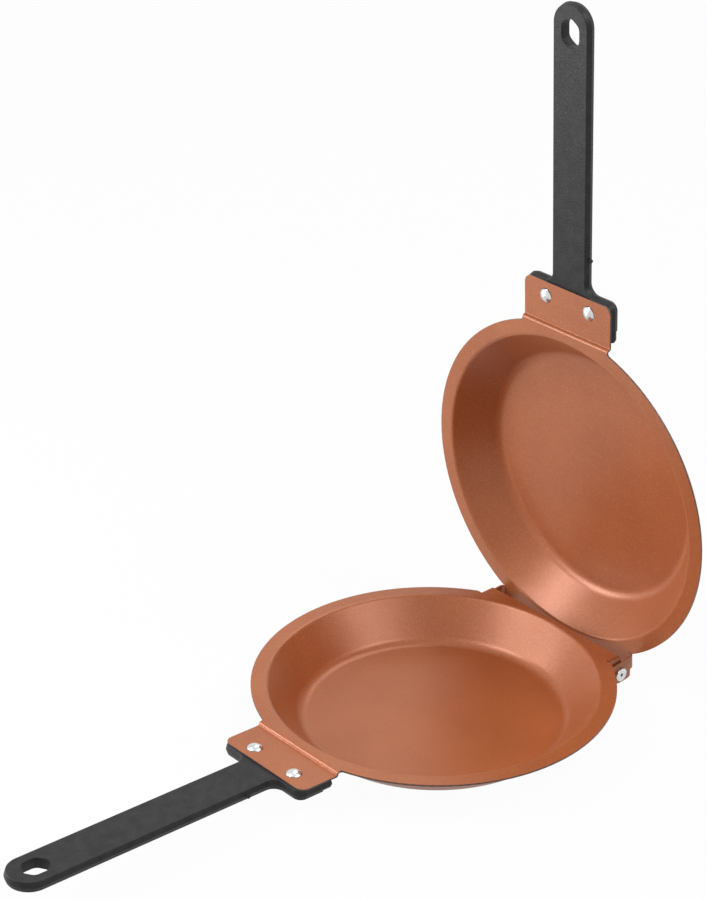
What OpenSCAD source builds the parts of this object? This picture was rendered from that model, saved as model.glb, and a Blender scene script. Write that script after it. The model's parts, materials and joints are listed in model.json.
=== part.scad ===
// Double sided flip pan: two pressed pans, rim to rim, on a two-ear hinge,
// each with a moulded handle riveted to a joggled tab. Millimetres.
// Origin: centre of the lower pan's underside. +Z up, the hinge lies towards +Y and
// the lower handle points to -Y. The pan is drawn open, as far as its stop lets it.

/* [Pan] */
// Thickness of the pressed sheet
sheet = 1; // [0.8:0.1:1.2]
// Outer diameter of the flat rim
rim_d = 196; // [194:0.5:198]
// Width of the flat rim, before the lip is rounded
rim_w = 8.7; // [8:0.1:11]
// How far the wall slopes in, from the rim to the floor
wall_run = 17.7; // [14:0.1:22]
// Depth inside, from the rim to the floor
depth = 21.3; // [20:0.1:30]
// Radius under the lip, inside the bend
lip_bend = 2; // [1:0.5:3]
// Radius at the floor, on the cooking side
floor_bend = 9; // [5:0.5:12]

/* [Handle tab] */
// Width of the tab
tab_w = 62; // [52:1:68]
// Length of the tab beyond the joggle
tab_l = 24.2; // [22:0.1:28]
// Radius of the tab's outer corners
tab_corner = 5; // [2:0.5:8]
// Radius where the tab leaves the round rim
tab_root = 1.8; // [1:0.1:2]
// Distance from the round rim's edge in to the joggle
joggle_in = 2.5; // [1.5:0.1:2.7]
// Step down of the tab at the joggle
joggle_drop = 2; // [1.9:0.1:2.6]
// Steepness of the joggle
joggle_angle = 72; // [60:1:80]
// Inside radius of the joggle's two bends
joggle_bend = 0.3; // [0.2:0.1:0.4]
// Rise of the lower tab and handle, towards the mating side
lower_tilt = 2.9; // [2:0.1:3]
// Rise of the upper tab and handle, towards the mating side
upper_tilt = -1; // [-2:0.1:-0.9]

/* [Handle] */
// Length of the handle beyond the joggle
handle_l = 180.6; // [140:0.1:184]
// Thickness of the handle
handle_t = 6; // [5:0.5:8]
// Width of the grip at its parting line
grip_w = 24.6; // [18:0.1:28]
// Draft of the sides, from the parting line to each face
draft = 0.7; // [0.2:0.1:0.9]
// Depth of the parting line below the top face
parting = 3; // [2:0.5:3.5]
// Rounding of the top edges
top_round = 0.4; // [0.2:0.1:0.8]
// Rounding of the bottom edges
bottom_round = 1.2; // [0.5:0.1:1.4]
// Radius of the head's outer corners
head_corner = 5.5; // [4:0.5:7]
// Radius of the head's corners at the pan's end
head_end_corner = 2.5; // [2.4:0.1:4]
// Radius from the head's shoulder into the grip
head_fillet = 5; // [3:0.5:8]
// Distance from the joggle out to the head's end
head_in = 2.2; // [1.4:0.1:3]
// How far the head's shoulder shows beyond the tab
head_show = 1.3; // [0:0.1:2]
// Length of the thinner end of the head
head_step_l = 6.8; // [5:0.1:8]
// Height of the step under that end
head_step = 1.5; // [0.5:0.1:2]
// Width of the hanging hole
hole_w = 12.5; // [9:0.5:13]
// Length of the hanging hole
hole_l = 15.5; // [13:0.5:18]
// Distance from the tip to the hole's centre
hole_in = 15.8; // [14:0.1:20]
// Corner radius of the hanging hole
hole_corner = 4; // [2:0.5:4]
// Distance from the joggle to the moulding gate's stub
gate_in = 43.9; // [38:0.1:60]
// Diameter of the gate's stub
gate_d = 2; // [1:0.5:2]
// Height of the gate's stub
gate_h = 1.4; // [0.5:0.1:2]

/* [Handle rivets] */
// Diameter of the rivet's shank
rivet_d = 4; // [3:0.5:5]
// Distance between the two rivets
rivet_gap = 31; // [26:0.5:36]
// Distance from the joggle to the rivets
rivet_in = 15.9; // [14:0.1:17]
// Diameter of the domed head
rivet_head_d = 8.6; // [7:0.1:9]
// Height of the domed head
rivet_head_h = 1.8; // [1.4:0.1:1.9]
// Diameter of the formed tail
rivet_tail_d = 6.4; // [6:0.1:7]
// Outer diameter of the washer under the handle
rivet_washer_d = 9; // [8:0.5:10]

/* [Rivets in general] */
// Clearance of a shank in a fixed hole
seat_play = 0.05; // [0.02:0.01:0.1]
// Thickness of the washers
washer_t = 0.8; // [0.5:0.1:1]
// Height of a formed tail
tail_h = 1.3; // [1:0.1:1.6]

/* [Hinge] */
// Outer width over the lower pan's two ears
ear_span = 99.8; // [94:0.2:102]
// Depth of the straight cut across the back of the round rim
back_cut = 6; // [5.5:0.1:6.5]
// Distance from that straight edge in to the hinge axis
hinge_in = 0.6; // [0.2:0.1:1]
// Depth of the hinge axis below the lower rim
hinge_drop = 10.4; // [10.2:0.1:11]
// Angle between open and closed
open_angle = 86.4; // [84:0.1:90]
// Gap between the two rims when closed
closed_gap = 0.4; // [0.4:0.1:1]
// Distance from the hinge axis to the front edge of the ears
ear_front = 7; // [6.6:0.1:7.4]
// Gap between an outer ear and the inner ear
ear_gap = 0.3; // [0.2:0.05:0.8]
// Inside radius of the lower ears' bend
lower_bend = 0.6; // [0.5:0.1:1]
// Inside radius of the upper ears' wider bend
upper_bend = 2.2; // [1.8:0.1:2.6]
// Radius of the lower ears round the rivet
lower_ear_r = 5; // [4.5:0.1:5.5]
// Radius of the upper ears round the rivet
upper_ear_r = 5.7; // [5.2:0.1:6]
// Width of the relief slot where a lower ear leaves the round rim
lower_relief = 1.2; // [1:0.1:1.6]
// Width of the relief slot where an upper ear leaves the round rim
upper_relief = 0.5; // [0.4:0.1:1]
// Gap between the stop and the underside of the lower rim
stop_gap = 0.15; // [0.1:0.05:0.3]
// Reach of the stop in front of the hinge axis
stop_reach = 10.2; // [9.8:0.1:10.5]
// Diameter of the hinge rivet's shank
pivot_d = 4; // [3:0.5:5]
// Running clearance of the shank in the outer ear
pivot_play = 0.05; // [0.02:0.01:0.1]
// Diameter of the hinge rivet's head
pivot_head_d = 7.5; // [7:0.1:9]
// Thickness of the hinge rivet's head
pivot_head_t = 1.3; // [1:0.1:1.6]
// Gap under the hinge rivet's head
pivot_slack = 0.1; // [0.05:0.05:0.2]
// Diameter of the dimple in the head
dimple_d = 2; // [1:0.1:3]
// Depth of the dimple
dimple_h = 1; // [0.3:0.1:1.1]
// Diameter of the hinge rivet's formed tail
pivot_tail_d = 6; // [5.5:0.1:7]
// Outer diameter of the washer inside the hinge
pivot_washer_d = 8; // [7.5:0.5:9]

/* [Hidden] */
$fn = 96;

coating = "#b4673a";
plastic = "#2b2c2e";
bright = "#d5d7da";

rim_z = depth + sheet;
rim_r = rim_d / 2;
lip_d = rim_d - 2 * rim_w;
floor_d = lip_d - 2 * wall_run;

// The bowl's wall: its slope, and the centres of the bends at the lip and the floor.
wall_angle = atan2(depth, wall_run);
wall_out = [sin(wall_angle), -cos(wall_angle)];
lip_r = lip_bend + sheet;
lip_c = [lip_d / 2 + lip_r * tan(wall_angle / 2), -lip_r];
floor_c = [floor_d / 2 - floor_bend * tan(wall_angle / 2), floor_bend - depth];

// The joggle, seen from the side: outward from the rim, down a slope and out again.
joggle_y = rim_r - joggle_in;
joggle_down = [cos(joggle_angle), -sin(joggle_angle)];
joggle_out = [sin(joggle_angle), cos(joggle_angle)];
joggle_sum = 2 * joggle_bend + sheet;
joggle_run = joggle_sum * sin(joggle_angle)
    + (joggle_drop - joggle_sum * (1 - cos(joggle_angle))) / tan(joggle_angle);
joggle_start = joggle_y - joggle_run / 2;

// The tab is one piece with the rim from a little inside the round edge.
tab_start = sqrt(pow(rim_r, 2) - pow(tab_w / 2, 2)) - 1;

// The ears. The lower pan's lie inside the upper pan's, and the upper bend is wide
// enough to close over the lower one. A slot frees each bend from the round rim.
back_y = rim_r - back_cut;
hinge_y = back_y - hinge_in;
lower_ear_x = ear_span / 2 - sheet;
upper_ear_x = ear_span / 2 + ear_gap;
lower_fold_x = lower_ear_x - lower_bend;
upper_fold_x = upper_ear_x - upper_bend;
fold_y = hinge_y - ear_front;
lower_slot_y = fold_y - lower_relief;
upper_slot_y = fold_y - upper_relief;

// The handle's head, in the tab's frame: its shoulder lies just beyond the tab's end.
shoulder = tab_l + head_show;

// Points of an arc about c, from angle a0 to angle a1.
function arc(c, r, a0, a1, n) =
    [for (i = [0 : n]) let (a = a0 + (a1 - a0) * i / n) c + r * [cos(a), sin(a)]];

// A list in reverse order.
function turned(list) = [for (i = [len(list) - 1 : -1 : 0]) list[i]];

// Where a line from point p touches a circle of radius r about zero.
function tangent(p, r) =
    let (a = atan2(p.y, p.x) + acos(r / norm(p))) r * [cos(a), sin(a)];

// ---------------------------------------------------------------- placing

// From the lower pan's own frame, whose zero is the top of its rim, to the part.
module at_lower() translate([0, 0, rim_z]) children();

// From the upper pan's own frame: turned over on to the lower pan, then swung open.
module at_upper()
    translate([0, hinge_y, rim_z - hinge_drop])
        rotate([-open_angle, 0, 0])
            translate([0, -hinge_y, hinge_drop + closed_gap])
                mirror([0, 0, 1])
                    children();

// From a tab's frame, whose zero is its upper face at the joggle, to its pan's.
module at_tab(tilt)
    translate([0, -joggle_y, -joggle_drop])
        rotate([-tilt, 0, 0])
            children();

// A plate from x0 to x1 of a shape drawn in the Y-Z plane.
module plate_x(x0, x1)
    translate([x0, 0, 0])
        rotate([90, 0, 90])
            linear_extrude(x1 - x0)
                children();

// A bar from y0 to y1 of a shape drawn in the X-Z plane.
module bar_y(y0, y1)
    translate([0, y1, 0])
        rotate([90, 0, 0])
            linear_extrude(y1 - y0)
                children();

// ---------------------------------------------------------------- pans

// A sheet seen from its edge: the area between one face's line and the other's.
module between(face, other) polygon(concat(face, turned(other)));

// Half section of the bowl: floor, bend, wall, lip and a strip of rim.
function bowl_line(deep) = concat(
    [[0, -depth - deep]],
    arc(floor_c, floor_bend + deep, -90, wall_angle - 90, 12),
    arc(lip_c, lip_r - deep, 90 + wall_angle, 90, 8),
    [[lip_c.x + 1, -deep]]);

// Corner between the round rim and one side of the tab. Its round cuts a little into
// the rim's circle, so that the two cross cleanly.
module root_fillet() {
    x = tab_w / 2 + tab_root;
    c = [x, -sqrt(pow(rim_r + tab_root - 0.03, 2) - pow(x, 2))];
    difference() {
        polygon([c, [tab_w / 2 - 1, c.y], [tab_w / 2 - 1, c.y + 4], c * (rim_r - 1) / norm(c)]);
        translate(c) circle(tab_root);
    }
}

// Plan of the flat rim: round, with a straight back edge and a shelf for the ears,
// open over the bowl and cut back where the tab starts.
module rim_plan(fold_x, slot_y) {
    tab_top = joggle_start - 0.3;
    difference() {
        union() {
            circle(rim_r);
            translate([-fold_x, slot_y]) square([2 * fold_x, back_y - slot_y]);
            root_fillet();
            mirror([1, 0]) root_fillet();
        }
        circle(lip_c.x + 0.5);
        translate([-rim_r, back_y]) square([2 * rim_r, rim_r]);
        translate([-tab_w / 2, -rim_r - 1]) square([tab_w, rim_r + 1 - tab_top]);
        for (side = [-1, 1])
            translate([side * (fold_x + rim_r / 2), slot_y + rim_r / 2])
                square(rim_r, center = true);
    }
}

// Side view of the tab, outward along X: a strip of rim, the joggle, the tilted tab.
// The slope is as long as it takes for the tab to come out level with its own frame.
function tab_line(tilt, deep) =
    let (rise = [-sin(tilt), cos(tilt)],
         foot = [joggle_y, -joggle_drop],
         c1 = [joggle_start, -joggle_bend - sheet],
         straight = c1 + joggle_sum * joggle_out,
         slope = ((foot - straight) * rise + joggle_bend) / (joggle_down * rise),
         c2 = straight + slope * joggle_down)
    concat([[tab_start, -deep]],
           arc(c1, joggle_bend + sheet - deep, 90, 90 - joggle_angle, 5),
           arc(c2, joggle_bend + deep, -90 - joggle_angle, tilt - 90, 5),
           [foot + tab_l * [cos(tilt), sin(tilt)] - deep * rise]);

// Plan of the tab, outward along Y, with its two round corners.
module tab_plan(tilt) {
    end = joggle_y + tab_l * cos(tilt);
    long = end - tab_start;
    difference() {
        union() {
            translate([-tab_w / 2, tab_start]) square([tab_w, long - tab_corner]);
            translate([tab_corner - tab_w / 2, tab_start])
                square([tab_w - 2 * tab_corner, long]);
            for (side = [-1, 1])
                translate([side * (tab_w / 2 - tab_corner), end - tab_corner])
                    circle(tab_corner);
        }
        circle(lip_c.x + 0.5);
    }
}

module tab(tilt)
    intersection() {
        plate_x(-tab_w, tab_w)
            mirror([1, 0]) between(tab_line(tilt, 0), tab_line(tilt, sheet));
        translate([0, 0, -2 * depth])
            linear_extrude(4 * depth) mirror([0, 1]) tab_plan(tilt);
    }

// The bowl, its rim and its tab, which the two pans share.
module shell(tilt, fold_x, slot_y) {
    rotate_extrude() between(bowl_line(0), bowl_line(sheet));
    translate([0, 0, -sheet]) linear_extrude(sheet) rim_plan(fold_x, slot_y);
    tab(tilt);
}

// The two holes for the handle's rivets.
module rivet_holes()
    for (side = [-1, 1])
        translate([side * rivet_gap / 2, -rivet_in, -handle_t - 3 * sheet])
            cylinder(h = handle_t + 6 * sheet, d = rivet_d + 2 * seat_play);

// A hole along X through both ears.
module ear_holes(z, play)
    translate([-ear_span, hinge_y, z])
        rotate([0, 90, 0])
            cylinder(h = 2 * ear_span, d = pivot_d + 2 * play);

// One face of a shelf's bend into its ear, seen from the front: round centre c,
// turning down (1) or up (-1), and on a little at both ends.
function fold_line(c, r, turn) = concat(
    [[c.x - 2, c.y + turn * r]],
    arc(c, r, turn * 90, 0, 10),
    [[c.x + r, c.y - turn]]);

module fold(c, r, turn) between(fold_line(c, r + sheet, turn), fold_line(c, r, turn));

// The lower pan's ear beyond its bend, seen from the side, about the hinge axis.
module lower_ear() {
    top = hinge_drop - lower_bend - sheet;
    back = back_y - hinge_y;
    circle(lower_ear_r);
    polygon([[-lower_ear_r, 0], [-ear_front, top], [back, top], [back + 1.4, top - 1.4],
             [lower_ear_r, 0]]);
}

// The upper pan's ear beyond its bend, seen from the side, about the hinge axis.
// Its long toe reaches under the lower rim when the pan stands open, and stops it.
module upper_ear() {
    front = -ear_front;
    top = upper_bend - hinge_drop - closed_gap;
    stop = hinge_drop - sheet - stop_gap;
    heel = [-stop_reach, stop - 4];
    circle(upper_ear_r);
    polygon([[front, 0], [front, top], [back_y - hinge_y, top], [back_y - hinge_y, top + 0.5],
             [upper_ear_r - 0.8, top + 0.7], [upper_ear_r, top + 2.6], [upper_ear_r, 0]]);
    // The toe is drawn as it lies when open.
    mirror([0, 1])
        rotate(open_angle)
            polygon([[0, 0], [0, -front - 0.1], [front + 0.8, -front - 0.5], [front - 0.4, stop],
                     [-stop_reach, stop], heel, tangent(heel, upper_ear_r)]);
}

module lower_pan()
    color(coating)
        at_lower()
            difference() {
                union() {
                    shell(lower_tilt, lower_fold_x, lower_slot_y);
                    for (side = [0, 1])
                        mirror([side, 0, 0]) {
                            bar_y(fold_y, back_y)
                                fold([lower_fold_x, -lower_bend - sheet], lower_bend, 1);
                            translate([0, hinge_y, -hinge_drop])
                                plate_x(lower_ear_x, lower_ear_x + sheet) lower_ear();
                        }
                }
                at_tab(lower_tilt) rivet_holes();
                ear_holes(-hinge_drop, seat_play);
            }

module upper_pan()
    color(coating)
        at_upper()
            difference() {
                union() {
                    shell(upper_tilt, upper_fold_x, upper_slot_y);
                    for (side = [0, 1])
                        mirror([side, 0, 0]) {
                            bar_y(fold_y, back_y)
                                fold([upper_fold_x, upper_bend], upper_bend, -1);
                            translate([0, hinge_y, hinge_drop + closed_gap])
                                plate_x(upper_ear_x, upper_ear_x + sheet) upper_ear();
                        }
                }
                at_tab(upper_tilt) rivet_holes();
                ear_holes(hinge_drop + closed_gap, pivot_play);
            }

// ---------------------------------------------------------------- handles

// One side of the handle's outline, drawn in by d, from the pan's end to the tip:
// the head's two corners, the fillet and a quarter of the tip.
function head_side(d) = concat(
    arc([tab_w / 2 - head_end_corner, head_in + head_end_corner], head_end_corner - d, -90, 0, 5),
    arc([tab_w / 2 - head_corner, shoulder - head_corner], head_corner - d, 0, 90, 8));

function handle_side(d) = concat(
    head_side(d),
    arc([grip_w / 2 + head_fillet, shoulder + head_fillet], head_fillet + d, 270, 180, 8),
    arc([0, handle_l - grip_w / 2], grip_w / 2 - d, 0, 90, 16));

// The whole outline, once round.
function handle_outline(d) =
    let (side = handle_side(d), n = len(side))
    concat(side, [for (i = [2 : n]) [-side[n - i].x, side[n - i].y]]);

// Height and drawing-in of each level of the moulding, from the bottom up.
function handle_levels() = concat(
    [for (a = [90 : -22.5 : 0])
        [bottom_round * (1 - sin(a)) - handle_t, draft + bottom_round * (1 - cos(a))]],
    [[-parting, 0]],
    [for (a = [0 : 30 : 90])
        [-top_round * (1 - sin(a)), draft + top_round * (1 - cos(a))]]);

// A flat end of the moulding, from the ring of points that starts at first: one face
// for the head, then strips from side to side along the fillets, the grip and the tip.
function handle_cap(first) =
    let (tip = len(handle_side(0)) - 1, head = len(head_side(0)))
    concat([concat([for (i = [0 : head]) first + i],
                   [for (i = [head : -1 : 0]) first + 2 * tip - i])],
           [for (i = [head : tip - 2])
               [first + i, first + i + 1, first + 2 * tip - i - 1, first + 2 * tip - i]],
           [[first + tip - 1, first + tip, first + tip + 1]]);

// The solid moulding, lofted through its levels, its top face at zero.
module handle_blank() {
    levels = handle_levels();
    count = len(handle_outline(0));
    polyhedron(
        points = [for (l = levels) for (p = handle_outline(l[1])) [p.x, -p.y, l[0]]],
        faces = concat(
            [for (face = handle_cap(0)) turned(face)],
            [for (k = [0 : len(levels) - 2]) for (i = [0 : count - 1])
                let (a = k * count + i, b = k * count + (i + 1) % count)
                [a, b, b + count, a + count]],
            handle_cap(count * (len(levels) - 1))));
}

// The hanging hole: long and six-sided, with round corners.
module hanging_hole() {
    x = hole_w / 2 - hole_corner;
    y = hole_l / 2 - hole_corner;
    hull() {
        for (end = [-1, 1])
            translate([0, end * y]) circle(hole_corner, $fn = 32);
        for (side = [-1, 1], end = [-1, 1])
            translate([side * x, end * y * 0.6]) circle(hole_corner, $fn = 32);
    }
}

module handle()
    color(plastic)
        difference() {
            union() {
                translate([0, 0, -sheet]) handle_blank();
                translate([grip_w / 2 - 1, -gate_in, -sheet - parting])
                    rotate([0, 90, 0])
                        cylinder(h = gate_h + 1, d = gate_d);
            }
            translate([-tab_w, -head_in - head_step_l, -sheet - 2 * handle_t + head_step])
                cube([2 * tab_w, head_in + head_step_l, handle_t]);
            translate([0, hole_in - handle_l, -3 * handle_t])
                linear_extrude(4 * handle_t) hanging_hole();
            rivet_holes();
        }

module lower_handle() at_lower() at_tab(lower_tilt) handle();

module upper_handle() at_upper() at_tab(upper_tilt) handle();

// ---------------------------------------------------------------- rivets and washers

// A dome of diameter d and height h, its flat side on zero.
module dome(d, h) {
    r = (pow(d / 2, 2) + pow(h, 2)) / (2 * h);
    rotate_extrude()
        intersection() {
            translate([0, h - r]) circle(r);
            square([d / 2, h]);
        }
}

// Through the tab and the handle: domed head on the tab, formed tail on the washer.
module handle_rivet(side) {
    foot = sheet + handle_t + washer_t;
    color(bright)
        translate([side * rivet_gap / 2, -rivet_in, 0]) {
            dome(rivet_head_d, rivet_head_h);
            translate([0, 0, -foot]) cylinder(h = foot, d = rivet_d);
            translate([0, 0, -foot]) mirror([0, 0, 1]) dome(rivet_tail_d, tail_h);
        }
}

module washer(outer_d, inner_d)
    color(bright)
        difference() {
            cylinder(h = washer_t, d = outer_d);
            translate([0, 0, -washer_t]) cylinder(h = 3 * washer_t, d = inner_d);
        }

module rivet_washer(side)
    translate([side * rivet_gap / 2, -rivet_in, -sheet - handle_t - washer_t])
        washer(rivet_washer_d, rivet_d + 2 * seat_play);

// From the hinge axis, outward along Z, to the part.
module at_hinge(side)
    translate([0, hinge_y, rim_z - hinge_drop])
        rotate([0, side * 90, 0])
            children();

// Through both ears: flat dimpled head outside, formed tail on the inner washer.
module hinge_rivet(side) {
    foot = lower_ear_x - washer_t;
    head = upper_ear_x + sheet + pivot_slack;
    color(bright)
        at_hinge(side) {
            difference() {
                translate([0, 0, head]) cylinder(h = pivot_head_t, d = pivot_head_d);
                translate([0, 0, head + pivot_head_t - dimple_h])
                    cylinder(h = 2 * dimple_h, d = dimple_d);
            }
            translate([0, 0, foot]) cylinder(h = head - foot, d = pivot_d);
            translate([0, 0, foot]) mirror([0, 0, 1]) dome(pivot_tail_d, tail_h);
        }
}

module hinge_washer(side)
    at_hinge(side)
        translate([0, 0, lower_ear_x - washer_t])
            washer(pivot_washer_d, pivot_d + 2 * seat_play);

module lower_side() at_lower() at_tab(lower_tilt) children();
module upper_side() at_upper() at_tab(upper_tilt) children();

lower_pan();
upper_pan();
lower_handle();
upper_handle();
lower_side() handle_rivet(-1);  // lower_handle_rivet_left
lower_side() handle_rivet(1);  // lower_handle_rivet_right
upper_side() handle_rivet(-1);  // upper_handle_rivet_left
upper_side() handle_rivet(1);  // upper_handle_rivet_right
lower_side() rivet_washer(-1);  // lower_rivet_washer_left
lower_side() rivet_washer(1);  // lower_rivet_washer_right
upper_side() rivet_washer(-1);  // upper_rivet_washer_left
upper_side() rivet_washer(1);  // upper_rivet_washer_right
hinge_rivet(-1);  // hinge_rivet_left
hinge_rivet(1);  // hinge_rivet_right
hinge_washer(-1);  // hinge_washer_left
hinge_washer(1);  // hinge_washer_right
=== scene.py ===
"""A double sided flip pan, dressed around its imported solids: coated steel pans,
moulded handles, formed rivets and washers, on a plain pale floor."""
import json
import math

import bpy
from mathutils import Matrix, Vector


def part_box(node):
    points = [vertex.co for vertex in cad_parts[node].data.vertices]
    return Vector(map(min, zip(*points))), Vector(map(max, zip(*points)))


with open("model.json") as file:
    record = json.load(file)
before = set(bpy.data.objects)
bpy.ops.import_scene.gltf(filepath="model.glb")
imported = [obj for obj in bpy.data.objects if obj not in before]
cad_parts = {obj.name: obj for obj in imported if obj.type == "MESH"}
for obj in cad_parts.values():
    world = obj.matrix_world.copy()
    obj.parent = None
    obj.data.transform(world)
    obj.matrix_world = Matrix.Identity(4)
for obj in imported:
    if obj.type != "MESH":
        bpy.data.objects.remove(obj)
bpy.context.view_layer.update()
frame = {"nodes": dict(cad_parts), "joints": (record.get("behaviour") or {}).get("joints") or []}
nodes = frame["nodes"]


# The two pans: each is pressed from one blank of 1 mm steel sheet, with a flat rim, a
# joggled tab for the handle and two bent ears. They are sprayed inside and out with a
# copper-coloured non-stick coating full of fine metal flakes, which is then stoved.
COAT_LIGHT = (0.405, 0.110, 0.027, 1)
COAT_DEEP = (0.350, 0.088, 0.020, 1)
COAT_FLAKE = (0.620, 0.330, 0.190, 1)
# The near-black colour along the rim's and the tab's edge is painted shade, not a colour of the
# sheet.
PAINTED_EDGE_SHADE = (0.060, 0.030, 0.022, 1)
COAT_FLAKE_SIZE = 0.0005
COAT_CLOUD_SIZE = 0.045
COAT_FLAKE_DEPTH = 0.00003
COAT_ROUGHNESS = (0.32, 0.40)
COAT_METALLIC = (0.10, 0.30)
COAT_SHINE = 0.65
FLAKES_START = 0.52
FLAKES_FULL = 0.70
FLAKES_MOST = 0.4

PAN_EDGE_ROUND = 0.00012
EDGE_STEPS = 2
SHARP_FROM = math.radians(35)
SAME_POINT = 1e-6


def soften_edges(piece, radius):
    """Joins a solid's faces, breaks its sharp edges by a small round and evens the shading."""
    weld = piece.modifiers.new("joined faces", "WELD")
    weld.merge_threshold = SAME_POINT
    bevel = piece.modifiers.new("broken edges", "BEVEL")
    bevel.width = radius
    bevel.segments = EDGE_STEPS
    bevel.limit_method = "ANGLE"
    bevel.angle_limit = SHARP_FROM
    piece.modifiers.new("even shading", "WEIGHTED_NORMAL")


SPECK_DETAIL, CLOUD_DETAIL = 2, 3
GRAIN_LOW, GRAIN_HIGH = 0.3, 0.7


def grain_group():
    """Fine specks and slow clouds over a surface, each from 0 to 1, sized in metres."""
    group = bpy.data.node_groups.new("surface grain", "ShaderNodeTree")
    for name in ("Speck Size", "Cloud Size"):
        group.interface.new_socket(name, in_out="INPUT", socket_type="NodeSocketFloat")
    for name in ("Specks", "Clouds"):
        group.interface.new_socket(name, in_out="OUTPUT", socket_type="NodeSocketFloat")
    start = group.nodes.new("NodeGroupInput")
    end = group.nodes.new("NodeGroupOutput")
    place = group.nodes.new("ShaderNodeTexCoord")
    for size, value, detail in (("Speck Size", "Specks", SPECK_DETAIL),
                                ("Cloud Size", "Clouds", CLOUD_DETAIL)):
        scale = group.nodes.new("ShaderNodeMath")
        scale.operation = "DIVIDE"
        scale.inputs[0].default_value = 1
        noise = group.nodes.new("ShaderNodeTexNoise")
        noise.inputs["Detail"].default_value = detail
        group.links.new(start.outputs[size], scale.inputs[1])
        group.links.new(place.outputs["Object"], noise.inputs["Vector"])
        group.links.new(scale.outputs[0], noise.inputs["Scale"])
        group.links.new(noise.outputs["Fac"], end.inputs[value])
    return group


GRAIN = grain_group()


def add_grain(material, speck, cloud):
    """Places the grain in a material with that finish's own sizes."""
    grain = material.node_tree.nodes.new("ShaderNodeGroup")
    grain.node_tree = GRAIN
    grain.inputs["Speck Size"].default_value = speck
    grain.inputs["Cloud Size"].default_value = cloud
    return grain


def ranged(material, value, low, high, start=GRAIN_LOW, end=GRAIN_HIGH):
    """Takes a value that runs from start to end on to the range from low to high."""
    ramp = material.node_tree.nodes.new("ShaderNodeMapRange")
    ramp.inputs["From Min"].default_value = start
    ramp.inputs["From Max"].default_value = end
    ramp.inputs["To Min"].default_value = low
    ramp.inputs["To Max"].default_value = high
    material.node_tree.links.new(value, ramp.inputs["Value"])
    return ramp.outputs["Result"]


# The Mix node's colour sockets, which share their names with its other kinds.
MIX_FROM, MIX_TO, MIX_RESULT = 6, 7, 2


def blended(material, value, first, second):
    """A colour that goes from first to second with a value from 0 to 1."""
    mix = material.node_tree.nodes.new("ShaderNodeMix")
    mix.data_type = "RGBA"
    for end, colour in ((MIX_FROM, first), (MIX_TO, second)):
        if isinstance(colour, tuple):
            mix.inputs[end].default_value = colour
        else:
            material.node_tree.links.new(colour, mix.inputs[end])
    material.node_tree.links.new(value, mix.inputs["Factor"])
    return mix.outputs[MIX_RESULT]


def bumped(material, height, depth):
    """Turns a height from 0 to 1 into a normal, for a relief of that depth."""
    bump = material.node_tree.nodes.new("ShaderNodeBump")
    bump.inputs["Distance"].default_value = depth
    bump.inputs["Strength"].default_value = 1
    material.node_tree.links.new(height, bump.inputs["Height"])
    return bump.outputs["Normal"]


def paint(node, material):
    """Puts a finish on all of a solid."""
    node.data.materials.clear()
    node.data.materials.append(material)


# In a pan's own frame the middle of the bowl is at x = y = 0, the tab towards -y and the
# ears towards +y, in metres.
RIM_RADIUS = 0.098
TAB_HALF_WIDTH = 0.031
TAB_END = 0.1196
TAB_CORNER = 0.005
EARS_FROM = 0.084
EDGE_FADE_BEFORE_EARS = 0.016
# How far in from the edge the painted shade reaches.
EDGE_SHADE_DEPTH = 0.00012


def edge_shade_group():
    """Where shade is painted: 1 on the blank's edge round the rim and the tab, from a place in
    the pan's own frame.
    """
    group = bpy.data.node_groups.new("painted edge shade", "ShaderNodeTree")
    group.interface.new_socket("Place", in_out="INPUT", socket_type="NodeSocketVector")
    group.interface.new_socket("Painted Shade", in_out="OUTPUT", socket_type="NodeSocketFloat")
    start = group.nodes.new("NodeGroupInput")
    end = group.nodes.new("NodeGroupOutput")

    def step_along(operation, *given):
        step = group.nodes.new("ShaderNodeVectorMath")
        step.operation = operation
        for slot, value in enumerate(given):
            if isinstance(value, tuple):
                step.inputs[slot].default_value = value
            else:
                group.links.new(value, step.inputs[slot])
        return step

    def beyond(length, limit):
        step = group.nodes.new("ShaderNodeMapRange")
        step.inputs["From Min"].default_value = limit - EDGE_SHADE_DEPTH
        step.inputs["From Max"].default_value = limit
        group.links.new(length, step.inputs["Value"])
        return step.outputs["Result"]

    flat = step_along("MULTIPLY", start.outputs["Place"], (1, 1, 0))
    size = step_along("ABSOLUTE", flat.outputs["Vector"])
    corner = step_along("SUBTRACT", size.outputs["Vector"],
                        (TAB_HALF_WIDTH - TAB_CORNER, TAB_END - TAB_CORNER, 0))
    outside = step_along("MAXIMUM", corner.outputs["Vector"], (0, 0, 0))
    rim = beyond(step_along("LENGTH", flat.outputs["Vector"]).outputs["Value"], RIM_RADIUS)
    tab = beyond(step_along("LENGTH", outside.outputs["Vector"]).outputs["Value"], TAB_CORNER)
    parts = group.nodes.new("ShaderNodeSeparateXYZ")
    group.links.new(start.outputs["Place"], parts.inputs["Vector"])
    before_ears = group.nodes.new("ShaderNodeMapRange")
    before_ears.inputs["From Min"].default_value = EARS_FROM
    before_ears.inputs["From Max"].default_value = EARS_FROM - EDGE_FADE_BEFORE_EARS
    group.links.new(parts.outputs["Y"], before_ears.inputs["Value"])
    edge = before_ears.outputs["Result"]
    for test in (rim, tab):
        both = group.nodes.new("ShaderNodeMath")
        both.operation = "MULTIPLY"
        group.links.new(edge, both.inputs[0])
        group.links.new(test, both.inputs[1])
        edge = both.outputs[0]
    group.links.new(edge, end.inputs["Painted Shade"])
    return group


EDGE_SHADE = edge_shade_group()


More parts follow.
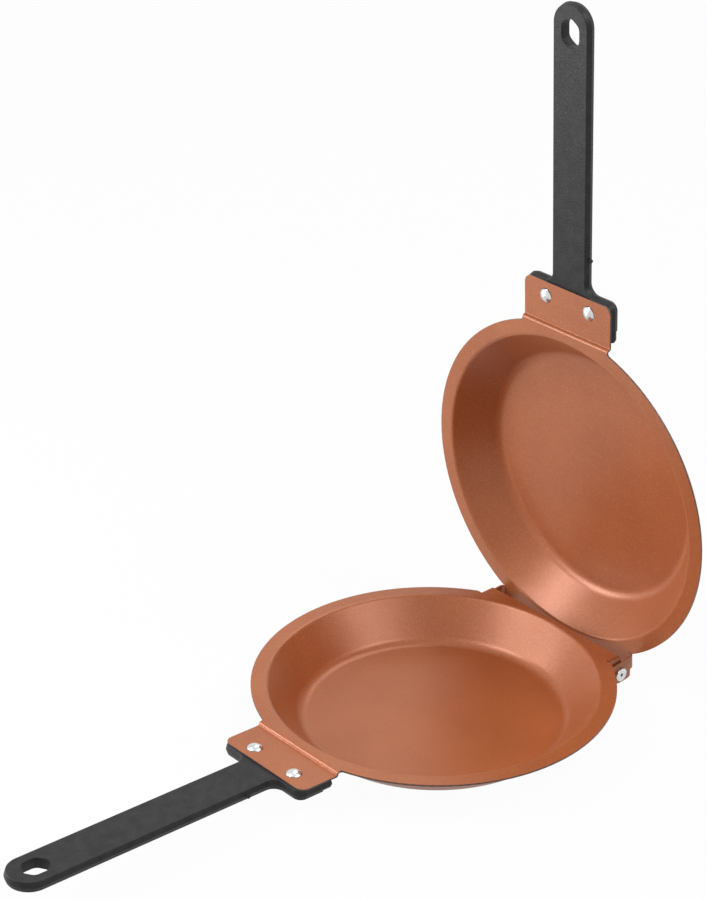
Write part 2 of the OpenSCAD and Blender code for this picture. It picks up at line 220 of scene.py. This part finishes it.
def coating(name, turn, shift):
    """The stoved coating. Turn and shift take a place on the pan into the pan's own frame."""
    finish = bpy.data.materials.new(name)
    finish.use_nodes = True
    tree = finish.node_tree
    shader = tree.nodes["Principled BSDF"]
    grain = add_grain(finish, speck=COAT_FLAKE_SIZE, cloud=COAT_CLOUD_SIZE)
    specks = grain.outputs["Specks"]
    shade = blended(finish, ranged(finish, grain.outputs["Clouds"], 0, 1), COAT_DEEP, COAT_LIGHT)
    flakes = ranged(finish, specks, 0, FLAKES_MOST, start=FLAKES_START, end=FLAKES_FULL)
    place = tree.nodes.new("ShaderNodeTexCoord")
    own = tree.nodes.new("ShaderNodeMapping")
    own.inputs["Rotation"].default_value = turn
    own.inputs["Location"].default_value = shift
    edge = tree.nodes.new("ShaderNodeGroup")
    edge.node_tree = EDGE_SHADE
    tree.links.new(place.outputs["Object"], own.inputs["Vector"])
    tree.links.new(own.outputs["Vector"], edge.inputs["Place"])
    flaked = blended(finish, flakes, shade, COAT_FLAKE)
    # The blank's edge is darkened with painted shade over the flaked coating.
    tree.links.new(blended(finish, edge.outputs["Painted Shade"], flaked, PAINTED_EDGE_SHADE),
                   shader.inputs["Base Color"])
    tree.links.new(ranged(finish, specks, *COAT_ROUGHNESS), shader.inputs["Roughness"])
    tree.links.new(ranged(finish, specks, *COAT_METALLIC), shader.inputs["Metallic"])
    tree.links.new(bumped(finish, specks, COAT_FLAKE_DEPTH), shader.inputs["Normal"])
    shader.inputs["Specular IOR Level"].default_value = COAT_SHINE
    return finish


# The lower pan lies in its own frame. The upper pan stands open, so a place on it comes
# into that frame when the pan swings shut about the hinge axis.
hinge = frame["joints"][0]
hinge_place = Vector(hinge["pos_m"])
swing_shut = Matrix.Rotation(math.radians(hinge["range_deg"][1]), 3, "X")
shift_shut = hinge_place - swing_shut @ hinge_place
COATINGS = {
    "lower_pan": coating("copper coating, lower pan", (0, 0, 0), (0, 0, 0)),
    "upper_pan": coating("copper coating, upper pan", swing_shut.to_euler(), shift_shut)}
for name, finish in COATINGS.items():
    paint(nodes[name], finish)
    soften_edges(nodes[name], PAN_EDGE_ROUND)


# The two handles: solid mouldings of black heat-proof plastic with a satin face. The
# head is as wide as the tab and lies under it, and the grip ends in a hanging hole.
PLASTIC_DARK = (0.010, 0.010, 0.0105, 1)
PLASTIC_PALE = (0.023, 0.023, 0.024, 1)
PLASTIC_GRAIN_SIZE = 0.0009
PLASTIC_CLOUD_SIZE = 0.006
PLASTIC_GRAIN_DEPTH = 0.00010
PLASTIC_ROUGHNESS = (0.42, 0.58)
PLASTIC_SHINE = 0.25
HANDLE_EDGE_ROUND = 0.00015


def plastic():
    """Moulded plastic with the fine satin grain of its mould."""
    finish = bpy.data.materials.new("black moulded plastic")
    finish.use_nodes = True
    links = finish.node_tree.links
    shader = finish.node_tree.nodes["Principled BSDF"]
    grain = add_grain(finish, speck=PLASTIC_GRAIN_SIZE, cloud=PLASTIC_CLOUD_SIZE)
    links.new(blended(finish, ranged(finish, grain.outputs["Clouds"], 0, 1),
                      PLASTIC_DARK, PLASTIC_PALE), shader.inputs["Base Color"])
    links.new(ranged(finish, grain.outputs["Specks"], *PLASTIC_ROUGHNESS),
              shader.inputs["Roughness"])
    links.new(bumped(finish, grain.outputs["Specks"], PLASTIC_GRAIN_DEPTH),
              shader.inputs["Normal"])
    shader.inputs["Specular IOR Level"].default_value = PLASTIC_SHINE
    return finish


PLASTIC = plastic()
for name in ("lower_handle", "upper_handle"):
    paint(nodes[name], PLASTIC)
    soften_edges(nodes[name], HANDLE_EDGE_ROUND)


# The rivets: cold-headed aluminium, tumbled bright. Two hold each handle, their domed
# heads on the tab, and one flat dimpled rivet at each side is the hinge. The foot of a
# domed head and the pit of a hinge rivet's dimple are darkened with painted shade.
RIVET_DEEP = (0.56, 0.57, 0.58, 1)
RIVET_LIGHT = (0.74, 0.75, 0.76, 1)
# Painted shade for the foot of a domed head and the pit of a hinge rivet's dimple.
RIVET_PAINTED_SHADE = (0.05, 0.045, 0.04, 1)
RIVET_SPECK_SIZE = 0.0003
RIVET_CLOUD_SIZE = 0.002
RIVET_DENT_DEPTH = 0.00004
RIVET_ROUGHNESS = (0.18, 0.26)
RIVET_EDGE_ROUND = 0.00008
HEAD_BRIGHT_TO, HEAD_SHADE_FROM = 0.0039, 0.0043
DIMPLE_BRIGHT_FROM, DIMPLE_SHADE_TO = 0.0011, 0.0007


def from_axis_group():
    """How far a place lies from a rivet's axis, in metres."""
    group = bpy.data.node_groups.new("from the axis", "ShaderNodeTree")
    for name in ("Centre", "Axis"):
        group.interface.new_socket(name, in_out="INPUT", socket_type="NodeSocketVector")
    group.interface.new_socket("Distance", in_out="OUTPUT", socket_type="NodeSocketFloat")
    start = group.nodes.new("NodeGroupInput")
    end = group.nodes.new("NodeGroupOutput")
    place = group.nodes.new("ShaderNodeTexCoord")
    last = place.outputs["Object"]
    for operation, other in (("SUBTRACT", "Centre"), ("CROSS_PRODUCT", "Axis")):
        step = group.nodes.new("ShaderNodeVectorMath")
        step.operation = operation
        group.links.new(last, step.inputs[0])
        group.links.new(start.outputs[other], step.inputs[1])
        last = step.outputs["Vector"]
    length = group.nodes.new("ShaderNodeVectorMath")
    length.operation = "LENGTH"
    group.links.new(last, length.inputs[0])
    group.links.new(length.outputs["Value"], end.inputs["Distance"])
    return group


FROM_AXIS = from_axis_group()


def rivet_metal(name, centre, axis, bright_at, shade_at):
    """Metal in its own colour at one distance from the rivet's axis, and darkened with painted
    shade at another.
    """
    finish = bpy.data.materials.new(name)
    finish.use_nodes = True
    links = finish.node_tree.links
    shader = finish.node_tree.nodes["Principled BSDF"]
    grain = add_grain(finish, speck=RIVET_SPECK_SIZE, cloud=RIVET_CLOUD_SIZE)
    reach = finish.node_tree.nodes.new("ShaderNodeGroup")
    reach.node_tree = FROM_AXIS
    reach.inputs["Centre"].default_value = centre
    reach.inputs["Axis"].default_value = axis
    bright = blended(finish, ranged(finish, grain.outputs["Clouds"], 0, 1),
                     RIVET_DEEP, RIVET_LIGHT)
    # The dark colour here is painted shade, placed by the distance from the rivet's axis.
    painted_shade = ranged(finish, reach.outputs["Distance"], 0, 1, start=bright_at, end=shade_at)
    links.new(blended(finish, painted_shade, bright, RIVET_PAINTED_SHADE), shader.inputs["Base Color"])
    links.new(ranged(finish, grain.outputs["Specks"], *RIVET_ROUGHNESS),
              shader.inputs["Roughness"])
    links.new(bumped(finish, grain.outputs["Clouds"], RIVET_DENT_DEPTH),
              shader.inputs["Normal"])
    shader.inputs["Metallic"].default_value = 1
    return finish


HINGE_AXIS = Vector((1, 0, 0))
LOWER_RIVET_AXIS = Vector((0, 0, 1))
UPPER_RIVET_AXIS = swing_shut.transposed() @ LOWER_RIVET_AXIS
for pair, axis, bright_at, shade_at in (
        ("hinge_rivet", HINGE_AXIS, DIMPLE_BRIGHT_FROM, DIMPLE_SHADE_TO),
        ("lower_handle_rivet", LOWER_RIVET_AXIS, HEAD_BRIGHT_TO, HEAD_SHADE_FROM),
        ("upper_handle_rivet", UPPER_RIVET_AXIS, HEAD_BRIGHT_TO, HEAD_SHADE_FROM)):
    for side in ("left", "right"):
        name = f"{pair}_{side}"
        low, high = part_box(name)
        paint(nodes[name], rivet_metal(name, (low + high) / 2, axis, bright_at, shade_at))
        soften_edges(nodes[name], RIVET_EDGE_ROUND)


# The washers: punched steel, zinc plated. One lies under each rivet's formed tail, so
# that the tail doesn't sink into the plastic or wear the ear.
ZINC_DEEP = (0.40, 0.41, 0.43, 1)
ZINC_LIGHT = (0.52, 0.53, 0.55, 1)
ZINC_SPECK_SIZE = 0.0003
ZINC_SPANGLE_SIZE = 0.003
ZINC_ROUGHNESS = (0.32, 0.45)
WASHER_EDGE_ROUND = 0.00006


def zinc_plate():
    """Dull zinc plate, a little cloudy."""
    finish = bpy.data.materials.new("zinc plate")
    finish.use_nodes = True
    links = finish.node_tree.links
    shader = finish.node_tree.nodes["Principled BSDF"]
    grain = add_grain(finish, speck=ZINC_SPECK_SIZE, cloud=ZINC_SPANGLE_SIZE)
    links.new(blended(finish, ranged(finish, grain.outputs["Clouds"], 0, 1),
                      ZINC_DEEP, ZINC_LIGHT), shader.inputs["Base Color"])
    links.new(ranged(finish, grain.outputs["Specks"], *ZINC_ROUGHNESS),
              shader.inputs["Roughness"])
    shader.inputs["Metallic"].default_value = 1
    return finish


ZINC = zinc_plate()
for name, node in nodes.items():
    if "washer" in name:
        paint(node, ZINC)
        soften_edges(node, WASHER_EDGE_ROUND)


# The studio: a wide pale floor and a plain sky. Neither is part of the pan. Both are
# white to the camera and in reflections, and the floor keeps a soft shadow.
FLOOR_HALF = 6
FLOOR_GREY = (0.75, 0.75, 0.75, 1)
FLOOR_ROUGHNESS = 0.9
FLOOR_WHITE = 0.97
WHITE = (1, 1, 1, 1)
SKY_LIGHT = 0.02


def seen_directly(tree):
    """1 for what the camera, a reflection or a clear solid shows, and 0 for soft light."""
    rays = tree.nodes.new("ShaderNodeLightPath")
    seen = rays.outputs["Is Camera Ray"]
    for kind in ("Is Glossy Ray", "Is Transmission Ray"):
        either = tree.nodes.new("ShaderNodeMath")
        either.operation = "MAXIMUM"
        tree.links.new(seen, either.inputs[0])
        tree.links.new(rays.outputs[kind], either.inputs[1])
        seen = either.outputs[0]
    return seen


def studio_floor():
    """A pale floor that takes the shadow and is nearly white where it is seen."""
    mesh = bpy.data.meshes.new("floor")
    corners = [(-1, -1), (1, -1), (1, 1), (-1, 1)]
    mesh.from_pydata([(x * FLOOR_HALF, y * FLOOR_HALF, 0) for x, y in corners],
                     [], [(0, 1, 2, 3)])
    floor = bpy.data.objects.new("floor", mesh)
    bpy.context.scene.collection.objects.link(floor)
    finish = bpy.data.materials.new("pale floor")
    finish.use_nodes = True
    tree = finish.node_tree
    shader = tree.nodes["Principled BSDF"]
    shader.inputs["Base Color"].default_value = FLOOR_GREY
    shader.inputs["Roughness"].default_value = FLOOR_ROUGHNESS
    shader.inputs["Specular IOR Level"].default_value = 0
    white = tree.nodes.new("ShaderNodeEmission")
    share = tree.nodes.new("ShaderNodeMath")
    share.operation = "MULTIPLY"
    share.inputs[1].default_value = FLOOR_WHITE
    mix = tree.nodes.new("ShaderNodeMixShader")
    tree.links.new(seen_directly(tree), share.inputs[0])
    tree.links.new(share.outputs[0], mix.inputs[0])
    tree.links.new(shader.outputs[0], mix.inputs[1])
    tree.links.new(white.outputs[0], mix.inputs[2])
    tree.links.new(mix.outputs[0], tree.nodes["Material Output"].inputs["Surface"])
    mesh.materials.append(finish)


studio_floor()


def sky():
    """White where it is seen, and almost no light of its own."""
    world = bpy.data.worlds.new("studio")
    bpy.context.scene.world = world
    world.use_nodes = True
    tree = world.node_tree
    light = tree.nodes["Background"]
    light.inputs["Color"].default_value = WHITE
    light.inputs["Strength"].default_value = SKY_LIGHT
    white = tree.nodes.new("ShaderNodeBackground")
    white.inputs["Color"].default_value = WHITE
    mix = tree.nodes.new("ShaderNodeMixShader")
    tree.links.new(seen_directly(tree), mix.inputs[0])
    tree.links.new(light.outputs[0], mix.inputs[1])
    tree.links.new(white.outputs[0], mix.inputs[2])
    tree.links.new(mix.outputs[0], tree.nodes["World Output"].inputs["Surface"])


sky()


# The lamps: six square softboxes round the pan, each turned from the front towards the
# right, lifted above the floor, and facing the middle of the lower pan.
LAMP_AIM = Vector((0, 0, 0.06))
LAMP_AWAY = 2.2
LAMP_SIZE = 0.8
LOW_LAMP_AWAY = 0.75
LOW_LAMP_SIZE = 0.35


def direction(turn, lift):
    """From the pan outwards, for a turn and a lift in radians."""
    return Vector((math.sin(turn) * math.cos(lift), -math.cos(turn) * math.cos(lift),
                   math.sin(lift)))


def lamp(name, turn, lift, watts, away=LAMP_AWAY, size=LAMP_SIZE):
    """One softbox, turned and lifted in degrees."""
    out = direction(math.radians(turn), math.radians(lift))
    light = bpy.data.lights.new(name, "AREA")
    light.shape = "SQUARE"
    light.size = size
    light.energy = watts
    softbox = bpy.data.objects.new(name, light)
    softbox.location = LAMP_AIM + away * out
    softbox.rotation_euler = (-out).to_track_quat("-Z", "Y").to_euler()
    bpy.context.scene.collection.objects.link(softbox)


lamp("key", -30, 50, 21.0)
lamp("right", 90, 50, 5.6)
lamp("right back", 120, 50, 20.5)
lamp("left back", -150, 50, 5.7)
lamp("top", -135, 72, 1.4)
lamp("low left", -45, 12, 4.0, away=LOW_LAMP_AWAY, size=LOW_LAMP_SIZE)


# The camera: a long lens level with its horizon, turned, lifted and aimed as the
# photograph was taken.
LENS = 105.344
SENSOR_WIDTH = 36
CAMERA_TURN = math.radians(48.40632)
CAMERA_LIFT = math.radians(27.55671)
CAMERA_AWAY = 2.2149663
CAMERA_AIM = Vector((-0.6043873, 0.4787949, -0.2404459))
CAMERA_SEES_TO = 100

camera = bpy.data.cameras.new("camera")
camera.sensor_width = SENSOR_WIDTH
camera.lens = LENS
camera.clip_end = CAMERA_SEES_TO
viewer = bpy.data.objects.new("camera", camera)
viewer.location = CAMERA_AIM + CAMERA_AWAY * direction(CAMERA_TURN, CAMERA_LIFT)
viewer.rotation_euler = (math.pi / 2 - CAMERA_LIFT, 0, CAMERA_TURN)
bpy.context.scene.collection.objects.link(viewer)
bpy.context.scene.camera = viewer
bpy.context.scene.view_settings.view_transform = "Standard"
